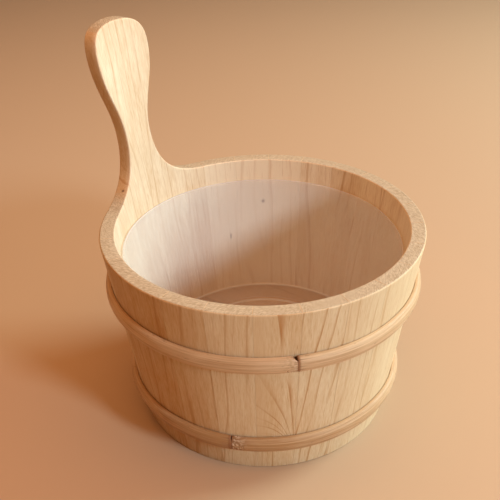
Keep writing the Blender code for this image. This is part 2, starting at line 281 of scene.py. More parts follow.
# Wood's streaks, with scales twice across the fibres and once along them. They follow the figure up
# to a limit, and the ring lines follow it all the way.
CLOUD_NOISE = ((42, 42, 20), 2.0, 0.5)
CLOUD_AMOUNT = 0.80
FIBRE_NOISE = ((1300, 1300, 120), 2.0, 0.6)
FIBRE_AMOUNT = 1.20
THREAD_NOISE = ((400, 400, 26), 3.0, 0.6)
THREAD_AMOUNT = 0.60
BAND_NOISE = ((120, 120, 6), 3.0, 0.55)
BAND_AMOUNT = 0.60
STREAK_LIMIT = 0.7
# Growth rings: how many there are, how far they wobble and how uneven they are. The late wood of a
# ring darkens towards its end. Some years are fainter, and noise breaks the lines off.
RINGS_PER_METRE = 135.0
WOBBLE_NOISE = ((26, 26, 7), 2.0, 0.45)
WOBBLE_AMOUNT = 0.018
UNEVEN_SCALE = 0.42
UNEVEN_AMOUNT = 3.0
LATE_WOOD_RAMP = (0.78, 0.96)
RING_END_RAMP = (1.0, 0.975)
YEAR_RAMP = (0.2, 0.8)
FAINTEST_YEAR = 0.15
BREAK_NOISE = ((50, 50, 14), 2.0, 0.5)
BREAK_RAMP = (0.32, 0.54)
LINE_TINT = 0.8
# Pores, and the end grain of faces across the fibres, with specks drawn out along a slant and
# fainter ring lines.
PORE_NOISE = ((1500, 1500, 75), 1.0, 0.5)
PORE_RAMP = (0.64, 0.74)
PORE_TINT = 0.45
PORE_DEPTH = 0.5
END_RAMP = (0.72, 0.97)
END_TINT = 0.85
END_LINES = 0.3
SPECK_NOISE = ((380, 2000, 400), 2.0, 0.6)
SPECK_RAMP = (0.32, 0.68)
SPECK_SLANT = 0.7
SPECK_HEIGHT = 0.8
# A knot is full dark within this share of its radius.
KNOT_CORE = 0.3
KNOT_TINT = 0.85
WOOD_ROUGHNESS = (0.48, 0.66)
WOOD_SPECULAR = 0.32
WOOD_BUMP = (0.0002, 0.4)

# Rattan: its skin from pale to dark, and its marks, each with its colour and tint.
RATTAN_PALE = (0.79, 0.535, 0.315)
RATTAN_DARK = (0.47, 0.245, 0.10)
RATTAN_MARKS = {
    "torn": ((0.27, 0.13, 0.065), 0.8),
    "nick": ((0.30, 0.15, 0.07), 0.4),
    # Painted shade in the hoops' cuts and splinter, darker the deeper they are.
    "gouge_shade": ((0.25, 0.115, 0.055), 0.7),
    "flake": ((0.86, 0.66, 0.47), 0.8),
    "under_flake": ((0.30, 0.14, 0.06), 0.7),
    "burn": ((0.34, 0.15, 0.07), 0.8),
}
RATTAN_MIDDLE = 0.36
RATTAN_FIBRE_NOISE = ((1700, 1700, 40), 3.0, 0.65)
RATTAN_FIBRE_AMOUNT = 1.2
RATTAN_STREAK_NOISE = ((600, 600, 9), 3.0, 0.6)
RATTAN_STREAK_AMOUNT = 1.5
RATTAN_PATCH_NOISE = ((70, 70, 30), 3.0, 0.5)
RATTAN_PATCH_AMOUNT = 0.7
TORN_RAMP = (0.42, 0.62)
SKIN_NICK_NOISE = ((500, 500, 160), 2.0, 0.5)
SKIN_NICK_RAMP = (0.66, 0.74)
FLAKE_NOISE = ((650, 650, 450), 2.0, 0.5)
FLAKE_RAMP = (0.52, 0.60)
UNDER_FLAKE_RAMP = (0.46, 0.40)
BURN_RAMP = (0.05, 0.7)
RATTAN_ROUGHNESS = (0.45, 0.62)
# Burnt ends are dull.
DULL_RAMP = (0.0, 0.6)
RATTAN_SPECULAR = (0.35, 0.05)
STREAK_HEIGHT = 0.8
SKIN_NICK_DEPTH = 0.6
RATTAN_BUMP = (0.0003, 0.5)

PLASTIC_PALE = (0.96, 0.935, 0.92)
PLASTIC_DULL = (0.90, 0.865, 0.845)
PLASTIC_NOISE = ((50, 50, 14), 3.0, 0.5)
PLASTIC_ROUGHNESS = (0.28, 0.42)
PLASTIC_RIPPLE_NOISE = ((450, 450, 450), 2.0, 0.5)
PLASTIC_BUMP = (0.0001, 0.15)
STEEL_DARK = (0.12, 0.10, 0.09)
STEEL_PALE = (0.30, 0.26, 0.23)
STEEL_NOISE = ((1500, 1500, 1500), 3.0, 0.5)
STEEL_ROUGHNESS = (0.35, 0.6)

rng = random.Random(11)


def middle(node):
    low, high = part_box(node)
    return (low + high) / 2


AXIS = Vector((middle("liner").x, middle("liner").y, 0))


def radii_and_heights(node):
    """Each vertex of a CAD node as its distance from the bucket's axis and its height."""
    points = np.array([vert.co for vert in CAD[node].data.vertices]) - np.array(AXIS)
    return np.hypot(points[:, 0], points[:, 1]), points[:, 2]


def measure_wall(node):
    """Outer foot radius, slope, level thickness and height of the wall, from one plain stave."""
    radius, height = radii_and_heights(node)
    top = height.max()
    rim = radius.argmax()
    low = np.flatnonzero(height < END_ZONE)
    foot = low[radius[low].argmax()]
    slope = (radius[rim] - radius[foot]) / (height[rim] - height[foot])
    foot_radius = radius[foot] - slope * height[foot]
    high = np.flatnonzero(height > top - END_ZONE)
    inside = high[radius[high].argmin()]
    thickness = foot_radius + slope * height[inside] - radius[inside]
    return foot_radius, slope, thickness, top


FOOT_RADIUS, WALL_SLOPE, WALL_THICKNESS, RIM_HEIGHT = measure_wall("stave_10")
WALL_LEAN = math.atan(WALL_SLOPE)
# Out of the wall's face and up along it, in a section through the axis.
OUTWARD = Vector((math.cos(WALL_LEAN), -math.sin(WALL_LEAN)))
UPWARD = Vector((math.sin(WALL_LEAN), math.cos(WALL_LEAN)))


def outer_radius(z):
    return FOOT_RADIUS + WALL_SLOPE * z


def inner_radius(z):
    return outer_radius(z) - WALL_THICKNESS


def bearing_of(node):
    at = middle(node) - AXIS
    return math.atan2(at.y, at.x)


def direction(bearing, elevation):
    level = math.cos(elevation)
    return Vector((level * math.cos(bearing), level * math.sin(bearing), math.sin(elevation)))


def linked(name, data):
    """A new object in the scene."""
    made = bpy.data.objects.new(name, data)
    bpy.context.scene.collection.objects.link(made)
    return made


def rounded(corners, arc_steps):
    """Outline through (r, z, radius) corners, with an arc of arc_steps where the radius isn't 0."""
    points = []
    for i, (r, z, radius) in enumerate(corners):
        corner = Vector((r, z))
        if radius == 0:
            points.append(corner)
            continue
        back = (Vector(corners[i - 1][:2]) - corner).normalized()
        ahead = (Vector(corners[(i + 1) % len(corners)][:2]) - corner).normalized()
        half = back.angle(ahead) / 2
        centre = corner + (back + ahead).normalized() * (radius / math.sin(half))
        start = corner + back * (radius / math.tan(half)) - centre
        sweep = start.angle_signed(corner + ahead * (radius / math.tan(half)) - centre)
        for step in range(arc_steps + 1):
            points.append(centre + Matrix.Rotation(-sweep * step / arc_steps, 2) @ start)
    return points


def turn_section(bm, section, steps):
    """Turns an open section of (r, z) points all the way round the axis."""
    verts = [bm.verts.new((r, 0, z)) for r, z in section]
    edges = [bm.edges.new(pair) for pair in zip(verts, verts[1:])]
    bmesh.ops.spin(
        bm, geom=verts + edges, axis=(0, 0, 1), cent=(0, 0, 0), angle=2 * math.pi, steps=steps,
    )
    bmesh.ops.remove_doubles(bm, verts=bm.verts, dist=MERGE_DISTANCE)


def show(name, bm, nodes, body, material):
    """A finished piece on the bucket's axis, in place of CAD nodes."""
    bmesh.ops.recalc_face_normals(bm, faces=bm.faces)
    mesh = bpy.data.meshes.new(name)
    bm.to_mesh(mesh)
    bm.free()
    mesh.shade_smooth()
    mesh.set_sharp_from_angle(angle=SHARP_ANGLE)
    mesh.materials.append(material)
    piece = linked(name, mesh)
    piece.location = AXIS
    even = piece.modifiers.new("even_shading", "WEIGHTED_NORMAL")
    even.keep_sharp = True
    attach(piece, body)
    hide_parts(*nodes)
    return piece


def points_of(mesh):
    points = np.empty(len(mesh.vertices) * 3)
    mesh.vertices.foreach_get("co", points)
    return points.reshape(-1, 3)


def store_numbers(mesh, name, values):
    attribute = mesh.attributes.new(name, "FLOAT", "POINT")
    attribute.data.foreach_set("value", values)


def store_vectors(mesh, name, columns):
    attribute = mesh.attributes.new(name, "FLOAT_VECTOR", "POINT")
    attribute.data.foreach_set("vector", np.column_stack(columns).ravel())


def fan(across, height, side):
    """Ring positions that spread upward from a point on a stave's joint, and their strength."""
    aside = outer_radius(height) * math.tan(STAVE_ANGLE / 2) - side * across
    above = np.maximum(height - FAN_FOOT, 0) + FAN_NARROWEST
    rings = FAN_SPACING * np.arctan2(aside, above + FAN_BEND * aside ** 2)
    return rings, np.clip((FAN_REACH - aside) / FAN_FADE, FAN_FAINTEST, 1)


def add_grain(mesh, bearing, pith, drift, tone, figure, fan_side):
    """Stores where each point lies in the plank it was cut from, about its pith and its fibres.

    The plank's pith passes (across, behind) the stave's face at half its height, and drifts by
    so much for each metre upward. Behind the face it gives arches, far to the side straight lines.
    """
    points = points_of(mesh)
    cos, sin = math.cos(bearing), math.sin(bearing)
    height = points[:, 2]
    above = height - RIM_HEIGHT / 2
    across = points[:, 1] * cos - points[:, 0] * sin
    depth = points[:, 0] * cos + points[:, 1] * sin - outer_radius(height)
    along = height + rng.uniform(0, NOISE_LENGTH)
    strength = np.full(len(height), figure)
    if fan_side:
        spread, fading = fan(across, height, fan_side)
        rings = [spread, np.zeros(len(height)), along]
        strength *= np.where(depth > -WALL_THICKNESS / 2, fading, FAN_FAINTEST)
    else:
        rings = [across - pith[0] - drift[0] * above, depth + pith[1] + drift[1] * above, along]
    store_vectors(mesh, "rings", rings)
    store_vectors(mesh, "grain", [across, depth, along])
    store_numbers(mesh, "tone", np.full(len(height), tone))
    store_numbers(mesh, "figure", strength)


def chamfer(bm, faces, size):
    """Breaks the sharp edges round a joint face."""
    edges = dict.fromkeys(edge for face in faces for edge in face.edges)
    bmesh.ops.bevel(
        bm, geom=list(edges), offset=size, offset_type="OFFSET", segments=1,
        profile=0.5, affect="EDGES", clamp_overlap=True,
    )


def plain_stave(bearing, fineness):
    """One stave turned from the wall's section, with rounded ends and broken joint edges."""
    row_count = STAVE_ROWS * fineness
    rows = [RIM_HEIGHT * row / row_count for row in range(1, row_count)]
    section = rounded(
        [
            (outer_radius(RIM_HEIGHT), RIM_HEIGHT, EDGE_ROUND),
            *((outer_radius(z), z, 0) for z in reversed(rows)),
            (outer_radius(0), 0, EDGE_ROUND),
            (inner_radius(0), 0, EDGE_ROUND),
            (inner_radius(RIM_HEIGHT), RIM_HEIGHT, EDGE_ROUND),
        ],
        EDGE_STEPS,
    )
    half = STAVE_ANGLE / 2 - JOINT_GAP / 2 / FOOT_RADIUS
    bm = bmesh.new()
    face = bm.faces.new([bm.verts.new((r, 0, z)) for r, z in section])
    bmesh.ops.rotate(bm, verts=bm.verts, matrix=Matrix.Rotation(bearing - half, 3, "Z"))
    bmesh.ops.spin(
        bm, geom=[face], axis=(0, 0, 1), cent=(0, 0, 0), angle=2 * half,
        steps=STAVE_STEPS * fineness,
    )
    bm.faces.ensure_lookup_table()
    ends = [end for end in bm.faces if len(end.verts) == len(section)]
    chamfer(bm, ends, JOINT_CHAMFER)
    return bm


def handle_outline():
    """Points of the handle and the four staves under it, flat, in x and height.

    Each has its place and its reaches back and ahead, or None where the outline is straight.
    """
    side = outer_radius(RIM_HEIGHT) * math.sin(2 * STAVE_ANGLE) + SLAB_ALLOWANCE
    right = [
        ((side, 0), None, None),
        ((side, RIM_HEIGHT), None, None),
        ((TAIL_HALF_WIDTH, RIM_HEIGHT), None, (-TAIL_REACH, 0)),
        ((NECK_HALF_WIDTH, RIM_HEIGHT + NECK_RISE), (0, -NECK_REACH_DOWN), (0, NECK_REACH_UP)),
        ((HEAD_HALF_WIDTH, RIM_HEIGHT + HEAD_RISE), (0, -HEAD_REACH_DOWN), (0, HEAD_REACH_UP)),
    ]
    crown = ((0, RIM_HEIGHT + HANDLE_RISE), (CROWN_REACH, 0), (-CROWN_REACH, 0))

    def flipped(vector):
        return vector and (-vector[0], vector[1])

    left = [(flipped(at), flipped(ahead), flipped(back)) for at, back, ahead in reversed(right)]
    return [*right, crown, *left]


def handle_curve():
    """The handle's outline as a filled curve with the wall's thickness and round edges."""
    knots = handle_outline()
    curve = bpy.data.curves.new("handle_outline", "CURVE")
    curve.dimensions = "2D"
    curve.fill_mode = "BOTH"
    curve.bevel_depth = EDGE_ROUND
    curve.bevel_resolution = EDGE_STEPS - 1
    curve.offset = -EDGE_ROUND
    curve.extrude = WALL_THICKNESS / 2 - EDGE_ROUND
    spline = curve.splines.new("BEZIER")
    spline.bezier_points.add(len(knots) - 1)
    spline.resolution_u = OUTLINE_STEPS
    spline.use_cyclic_u = True
    for point, (at, back, ahead) in zip(spline.bezier_points, knots):
        point.co = (*at, 0)
        point.handle_left_type = "FREE" if back else "VECTOR"
        point.handle_right_type = "FREE" if ahead else "VECTOR"
        if back:
            point.handle_left = (at[0] + back[0], at[1] + back[1], 0)
        if ahead:
            point.handle_right = (at[0] + ahead[0], at[1] + ahead[1], 0)
    return curve


def handle_slab():
    """The flat outline cut into strips and bent onto the wall's cone."""
    flat = linked("handle_slab", handle_curve())
    bpy.context.view_layer.update()
    evaluated = flat.evaluated_get(bpy.context.evaluated_depsgraph_get())
    mesh = bpy.data.meshes.new_from_object(evaluated)
    bpy.data.objects.remove(flat)
    bm = bmesh.new()
    bm.from_mesh(mesh)
    bmesh.ops.remove_doubles(bm, verts=bm.verts, dist=MERGE_DISTANCE)
    reach = max(vert.co.x for vert in bm.verts)
    strips = math.ceil(reach / STRIP_WIDTH)
    for strip in range(-strips, strips + 1):
        bmesh.ops.bisect_plane(
            bm, geom=bm.verts[:] + bm.edges[:] + bm.faces[:], dist=CUT_DISTANCE,
            plane_co=((strip + 0.5) * STRIP_WIDTH, 0, 0), plane_no=(1, 0, 0),
        )
    for vert in bm.verts:
        across, height, depth = vert.co
        radius = inner_radius(height) + WALL_THICKNESS / 2 + depth
        vert.co = (across, math.sqrt(radius ** 2 - across ** 2), height)
    return bm


def sawn(slab, bearing):
    """The part of the slab that one stave takes up."""
    bm = slab.copy()
    half = STAVE_ANGLE / 2
    for side in (-1, 1):
        angle = bearing + side * half
        normal = Vector((-math.sin(angle), math.cos(angle), 0)) * side
        result = bmesh.ops.bisect_plane(
            bm, geom=bm.verts[:] + bm.edges[:] + bm.faces[:], dist=CUT_DISTANCE,
            plane_co=normal * (-HANDLE_JOINT_GAP / 2), plane_no=normal, clear_outer=True,
        )
        edges = [cut for cut in result["geom_cut"] if isinstance(cut, bmesh.types.BMEdge)]
        filled = bmesh.ops.edgeloop_fill(bm, edges=edges)
        chamfer(bm, filled["faces"], HANDLE_JOINT_CHAMFER)
    return bm


def add_node(tree, kind, inputs=None, **settings):
    """A shader node with its settings, and its inputs linked to sockets or set to values."""
    made = tree.nodes.new(kind)
    for key, value in settings.items():
        setattr(made, key, value)
    for key, value in (inputs or {}).items():
        if isinstance(value, bpy.types.NodeSocket):
            tree.links.new(value, made.inputs[key])
        else:
            made.inputs[key].default_value = value
    return made


def stored(tree, name, output="Fac"):
    """A value stored on the mesh."""
    return add_node(tree, "ShaderNodeAttribute", attribute_name=name).outputs[output]


def calc(tree, operation, *values, clamp=False):
    inputs = dict(enumerate(values))
    made = add_node(tree, "ShaderNodeMath", inputs, operation=operation, use_clamp=clamp)
    return made.outputs[0]


def scaled(tree, vector, factors):
    inputs = {0: vector, 1: factors}
    return add_node(tree, "ShaderNodeVectorMath", inputs, operation="MULTIPLY").outputs[0]


def noise(tree, vector, scale, detail, roughness):
    inputs = {
        "Vector": scaled(tree, vector, scale), "Scale": 1.0,
        "Detail": detail, "Roughness": roughness,
    }
    return add_node(tree, "ShaderNodeTexNoise", inputs).outputs["Fac"]


def between(tree, value, low, high, to_low=0.0, to_high=1.0):
    """A smooth step of value from low to high."""
    inputs = {"Value": value, 1: low, 2: high, 3: to_low, 4: to_high}
    made = add_node(tree, "ShaderNodeMapRange", inputs, interpolation_type="SMOOTHSTEP")
    return made.outputs["Result"]


def varied(tree, start, layer, amount, clamp=False):
    """A value with a layer of noise about it."""
    centred = calc(tree, "SUBTRACT", layer, 0.5)
    return calc(tree, "MULTIPLY_ADD", centred, amount, start, clamp=clamp)


def mixed(tree, factor, first, second):
    """Two colours mixed. The node has such inputs for each type, and 6 and 7 are the colours."""
    made = add_node(tree, "ShaderNodeMix", data_type="RGBA")
    for socket, value in ((0, factor), (6, first), (7, second)):
        if isinstance(value, bpy.types.NodeSocket):
            tree.links.new(value, made.inputs[socket])
        else:
            made.inputs[socket].default_value = (*value, 1.0)
    return made.outputs[2]


def tinted(tree, colour, mask, amount, tint):
    """A colour with some of a tint where the mask is."""
    return mixed(tree, calc(tree, "MULTIPLY", mask, amount), colour, tint)


def share_of(colour, shares):
    return tuple(part * share for part, share in zip(colour, shares))


def new_material(name):
    material = bpy.data.materials.new(name)
    material.use_nodes = True
    tree = material.node_tree
    shader = tree.nodes["Principled BSDF"]
    return material, tree, shader


def bump(tree, shader, height, distance, strength):
    inputs = {"Height": height, "Distance": distance, "Strength": strength}
    made = add_node(tree, "ShaderNodeBump", inputs)
    tree.links.new(made.outputs[0], shader.inputs["Normal"])


def roughen(tree, shader, value, ramp, roughness):
    """Roughness that goes from one limit to the other with a value."""
    tree.links.new(between(tree, value, *ramp, *roughness), shader.inputs["Roughness"])


def wood_streaks(tree, grain, fibre):
    """Soft streaks along the fibres, above 0 where the wood is darker."""
    streaks = varied(tree, 0.0, noise(tree, grain, *CLOUD_NOISE), CLOUD_AMOUNT)
    streaks = varied(tree, streaks, fibre, FIBRE_AMOUNT)
    streaks = varied(tree, streaks, noise(tree, grain, *THREAD_NOISE), THREAD_AMOUNT)
    return varied(tree, streaks, noise(tree, grain, *BAND_NOISE), BAND_AMOUNT)


def ring_lines(tree, grain, side):
    """The dark late edge of each growth ring: some years are faint, and all are broken off."""
    flat = scaled(tree, stored(tree, "rings", "Vector"), (1, 1, 0))
    radius = add_node(tree, "ShaderNodeVectorMath", {0: flat}, operation="LENGTH").outputs["Value"]
    wobble = noise(tree, grain, *WOBBLE_NOISE)
    radius = calc(tree, "MULTIPLY_ADD", wobble, WOBBLE_AMOUNT, radius)
    turns = calc(tree, "MULTIPLY", radius, RINGS_PER_METRE)
    inputs = {"W": turns, "Scale": UNEVEN_SCALE, "Detail": 1.0}
    uneven = add_node(tree, "ShaderNodeTexNoise", inputs, noise_dimensions="1D").outputs["Fac"]
    turns = calc(tree, "MULTIPLY_ADD", uneven, UNEVEN_AMOUNT, turns)
    ring = calc(tree, "FRACT", turns)
    inputs = {"W": calc(tree, "FLOOR", turns)}
    year = add_node(tree, "ShaderNodeTexWhiteNoise", inputs, noise_dimensions="1D").outputs["Value"]
    line = between(tree, ring, *LATE_WOOD_RAMP)
    for strength in (
        between(tree, ring, *RING_END_RAMP),
        between(tree, year, *YEAR_RAMP, FAINTEST_YEAR, 1.0),
        between(tree, noise(tree, grain, *BREAK_NOISE), *BREAK_RAMP),
        between(tree, side, 0.0, 1.0, END_LINES, 1.0),
    ):
        line = calc(tree, "MULTIPLY", line, strength)
    return line


def knotted(tree, colour, fibre, knots):
    """A colour with dark knots, their edges roughened by the fibres."""
    place = add_node(tree, "ShaderNodeTexCoord").outputs["Object"]
    for (x, y, z), size, stretch in knots:
        inputs = {0: scaled(tree, place, (1, 1, 1 / stretch)), 1: (x, y, z / stretch)}
        away = add_node(tree, "ShaderNodeVectorMath", inputs, operation="DISTANCE").outputs["Value"]
        away = varied(tree, away, fibre, size)
        knot = between(tree, away, size, KNOT_CORE * size)
        colour = tinted(tree, colour, knot, KNOT_TINT, KNOT_COLOUR)
    return colour


def wood_material(name, pale, tan, fibre_axis, knots=()):
    """Pale wood: growth rings round the pith, short fibres along it, and darker pores."""
    material, tree, shader = new_material(name)
    grain = stored(tree, "grain", "Vector")
    figure = stored(tree, "figure")
    fibre = noise(tree, grain, *FIBRE_NOISE)
    normal = add_node(tree, "ShaderNodeNewGeometry").outputs["Normal"]
    facing = add_node(tree, "ShaderNodeSeparateXYZ", {0: normal}).outputs[fibre_axis]
    end = between(tree, calc(tree, "ABSOLUTE", facing), *END_RAMP)
    side = calc(tree, "SUBTRACT", 1.0, end)
    depth = add_node(tree, "ShaderNodeSeparateXYZ", {0: grain}).outputs["Y"]
    inside = between(tree, depth, *INSIDE_RAMP)

    shade = calc(tree, "MULTIPLY_ADD", stored(tree, "tone"), TONE_STEP, TONE_MIDDLE)
    # The inner faces are made paler: painted light inside the bucket.
    shade = calc(tree, "MULTIPLY_ADD", inside, -INSIDE_PAINTED_LIGHT, shade)
    calm = calc(tree, "MINIMUM", figure, STREAK_LIMIT)
    shade = calc(tree, "MULTIPLY_ADD", wood_streaks(tree, grain, fibre), calm, shade, clamp=True)
    line = calc(tree, "MULTIPLY", ring_lines(tree, grain, side), figure)
    line = calc(tree, "MULTIPLY", line, between(tree, inside, 0.0, 1.0, 1.0, INSIDE_LINES))
    pore = between(tree, noise(tree, grain, *PORE_NOISE), *PORE_RAMP)
    pore = calc(tree, "MULTIPLY", pore, figure)
    inputs = {"Vector": grain, "Angle": SPECK_SLANT}
    slanted = add_node(tree, "ShaderNodeVectorRotate", inputs, rotation_type="Z_AXIS").outputs[0]
    speck = noise(tree, slanted, *SPECK_NOISE)
    butt = mixed(tree, between(tree, speck, *SPECK_RAMP), END_GRAIN_PALE, END_GRAIN_DARK)

    deep = share_of(tan, LINE_SHARE)
    colour = mixed(tree, shade, mixed(tree, inside, share_of(pale, YELLOWED), pale), tan)
    colour = tinted(tree, colour, line, LINE_TINT, deep)
    colour = tinted(tree, colour, pore, PORE_TINT, deep)
    colour = tinted(tree, colour, end, END_TINT, butt)
    colour = knotted(tree, colour, fibre, knots)
    tree.links.new(colour, shader.inputs["Base Color"])
    roughen(tree, shader, fibre, FIBRE_RAMP, WOOD_ROUGHNESS)
    shader.inputs["Specular IOR Level"].default_value = WOOD_SPECULAR
    height = calc(tree, "MULTIPLY_ADD", pore, -PORE_DEPTH, fibre)
    height = calc(tree, "MULTIPLY_ADD", calc(tree, "MULTIPLY", speck, end), SPECK_HEIGHT, height)
    bump(tree, shader, height, *WOOD_BUMP)
    return material


def rattan_material():
    """Split rattan: long fine streaks, darker and torn towards the butted ends."""
    material, tree, shader = new_material("rattan")
    grain = stored(tree, "grain", "Vector")
    fibre = noise(tree, grain, *RATTAN_FIBRE_NOISE)
    streak = noise(tree, grain, *RATTAN_STREAK_NOISE)
    patch = noise(tree, grain, *RATTAN_PATCH_NOISE)
    shade = varied(tree, RATTAN_MIDDLE, fibre, RATTAN_FIBRE_AMOUNT)
    shade = varied(tree, shade, streak, RATTAN_STREAK_AMOUNT)
    shade = varied(tree, shade, patch, RATTAN_PATCH_AMOUNT, clamp=True)
    # Darker on the side with the butt: partly a darker patch, partly painted shade.
    shade = calc(tree, "ADD", shade, stored(tree, "dark_patch_and_shade"), clamp=True)

    nick = between(tree, noise(tree, grain, *SKIN_NICK_NOISE), *SKIN_NICK_RAMP)
    flake = stored(tree, "flake")
    skin = noise(tree, grain, *FLAKE_NOISE)
    burn = stored(tree, "burn")
    burn = between(tree, varied(tree, burn, fibre, burn), *BURN_RAMP)
    marks = {
        "torn": calc(tree, "MULTIPLY", stored(tree, "fray"), between(tree, fibre, *TORN_RAMP)),
        "nick": nick,
        # Painted shade in the cuts, following their depth.
        "gouge_shade": stored(tree, "gouge_shade"),
        "flake": calc(tree, "MULTIPLY", flake, between(tree, skin, *FLAKE_RAMP)),
        "under_flake": calc(tree, "MULTIPLY", flake, between(tree, skin, *UNDER_FLAKE_RAMP)),
        "burn": burn,
    }
    colour = mixed(tree, shade, RATTAN_PALE, RATTAN_DARK)
    for mark, mask in marks.items():
        tint_colour, tint = RATTAN_MARKS[mark]
        colour = tinted(tree, colour, mask, tint, tint_colour)
    tree.links.new(colour, shader.inputs["Base Color"])
    roughen(tree, shader, fibre, FIBRE_RAMP, RATTAN_ROUGHNESS)
    gloss = between(tree, burn, *DULL_RAMP, *RATTAN_SPECULAR)
    tree.links.new(gloss, shader.inputs["Specular IOR Level"])
    height = calc(tree, "MULTIPLY_ADD", streak, STREAK_HEIGHT, fibre)
    height = calc(tree, "MULTIPLY_ADD", nick, -SKIN_NICK_DEPTH, height)
    bump(tree, shader, height, *RATTAN_BUMP)
    return material


def plastic_material(name, alpha):
    """Milky plastic, which hides more or less of what is behind it."""
    material, tree, shader = new_material(name)
    place = add_node(tree, "ShaderNodeTexCoord").outputs["Object"]
    drift = noise(tree, place, *PLASTIC_NOISE)
    colour = mixed(tree, drift, PLASTIC_PALE, PLASTIC_DULL)
    tree.links.new(colour, shader.inputs["Base Color"])
    roughen(tree, shader, drift, NOISE_RAMP, PLASTIC_ROUGHNESS)
    shader.inputs["Alpha"].default_value = alpha
    bump(tree, shader, noise(tree, place, *PLASTIC_RIPPLE_NOISE), *PLASTIC_BUMP)
    return material


def steel_material():
    """Dull specked steel."""
    material, tree, shader = new_material("pin_steel")
    place = add_node(tree, "ShaderNodeTexCoord").outputs["Object"]
    speck = noise(tree, place, *STEEL_NOISE)
    tree.links.new(mixed(tree, speck, STEEL_DARK, STEEL_PALE), shader.inputs["Base Color"])
    roughen(tree, shader, speck, NOISE_RAMP, STEEL_ROUGHNESS)
    shader.inputs["Metallic"].default_value = 1.0
    return material


def chance_plank():
    """A plank whose place in its log is left to chance."""
    pith = (rng.uniform(*PITH_ACROSS), rng.uniform(*PITH_BEHIND))
    drift = (rng.uniform(*DRIFT_ACROSS), rng.uniform(*DRIFT_BEHIND))
    return pith, drift, rng.uniform(*CHANCE_TONE), rng.uniform(*CHANCE_FIGURE)


def make_staves(material):
    slab = handle_slab()
    drawn = [f"{kind}_stave_{side}" for kind in ("handle", "shoulder") for side in ("left", "right")]
    plain = [f"stave_{number:02d}" for number in range(1, STAVE_COUNT - len(drawn) + 1)]
    for name in drawn + plain:
        bearing = (math.floor(bearing_of(name) / STAVE_ANGLE) + 0.5) * STAVE_ANGLE
        fineness = FAN_FINENESS if name in FANS else 1
        bm = sawn(slab, bearing) if name in drawn else plain_stave(bearing, fineness)
        piece = show(name + "_wood", bm, [name], "bucket", material)
        plank = PLANKS.get(name) or chance_plank()
        add_grain(piece.data, bearing, *plank, FANS.get(name, 0))
    slab.free()


def make_bottom(material):
    for name in ("bottom_board_left", "bottom_board_middle", "bottom_board_right"):
        bm = bmesh.new()
        bm.from_mesh(CAD[name].data)
        bmesh.ops.remove_doubles(bm, verts=bm.verts, dist=MERGE_DISTANCE)
        bmesh.ops.translate(bm, verts=bm.verts, vec=-AXIS)
        piece = show(name + "_wood", bm, [name], "bucket", material)
        x, y, z = points_of(piece.data).T
        grain = [x, z + BOARD_PITH, y + BOARD_START]
        store_vectors(piece.data, "rings", grain)
        store_vectors(piece.data, "grain", grain)
        store_numbers(piece.data, "tone", np.full(len(x), rng.uniform(*BOARD_TONE)))
        store_numbers(piece.data, "figure", np.ones(len(x)))


def hoop_end_offset(place, end, share):
    """How far a hoop's end is cut back at a place across its width.

    The share is 1 on the face and less towards the back, where the gap closes. A chip goes
    right through.
    """
    phase = RAGGED_SHIFT * end[1]
    ragged = HOOP_RAGGED * sum(math.sin(wave * place + phase) for wave in RAGGED_WAVES)
    cut = (HOOP_BUTT_GAP / 2 + ragged + HOOP_END_CROWN * place ** 2) * share
    if end in HOOP_CHIPS:
        at, reach, size = HOOP_CHIPS[end]
        cut += size * max(0.0, 1 - abs(place - at) / reach)
    return cut


def hoop_nick(along, place, end):
    """Depth of the damage at a point of a hoop's face."""
    deepest = 0.0
    if end in HOOP_SPLINTERS:
        start, finish, low, depth = HOOP_SPLINTERS[end]
        if start < along < finish and place > low:
            deepest = depth * (1 - (along - start) / (finish - start))
    for at, low, high, depth in HOOP_NICKS.get(end, ()):
        if low < place < high:
            aside = abs(along - at - NICK_SLANT * (place - low))
            deepest = max(deepest, depth * (1 - aside / NICK_HALF_WIDTH))
    return deepest


def hoop_wear(along, turn, nick, end):
    """What the rattan's material is told about a point of a hoop."""
    behind = max(0.0, 1 - along / HOOP_FRAY)
    return {
        "fray": behind ** 2,
        "gouge_shade": nick / GOUGE_SHADE_DEPTH,
        "dark_patch_and_shade": HOOP_DARK_PATCH_AND_SHADE[end[0]] * max(0.0, math.cos(turn)) ** 2,
        "burn": max(0.0, 1 - along / HOOP_BURNS[end]),
        "flake": HOOP_FLAKES.get(end, 0.0) * behind,
    }


def hoop_stations(length):
    """Places along a hoop: the distance from the nearer end, and 1 if that is the last end."""
    coarse_length = length / 2 - HOOP_FINE_LENGTH
    half = [HOOP_FINE_LENGTH * step / HOOP_FINE_STEPS for step in range(HOOP_FINE_STEPS)]
    half += [HOOP_FINE_LENGTH + coarse_length * step / HOOP_STEPS for step in range(HOOP_STEPS + 1)]
    return [(along, 0) for along in half] + [(along, 1) for along in reversed(half[:-1])]


def chance_waves():
    """Waves round a hoop, each with its count and its phase."""
    return [
        (rng.randint(*HOOP_WAVE_COUNTS), rng.uniform(0, 2 * math.pi)) for _ in range(HOOP_WAVES)
    ]


def mean_wave(waves, turn):
    return sum(math.sin(count * turn + phase) for count, phase in waves) / len(waves)


def hoop_butt(name):
    """Bearing of the place where a hoop's ends meet, between its pins."""
    left, right = (middle(f"{name}_pin_{side}") - AXIS for side in ("left", "right"))
    both = left + right
    return math.atan2(both.y, both.x)


def hoop_out(angle, depth, nick):
    """How far a hoop's surface lies out from its section's middle, at an angle from its crown."""
    if abs(angle) < math.pi / 2:
        return depth * math.cos(angle) ** HOOP_FLATNESS - nick
    return (HOOP_LIFT - HOOP_OPEN) * math.cos(angle) / -math.cos(HOOP_TUCK)


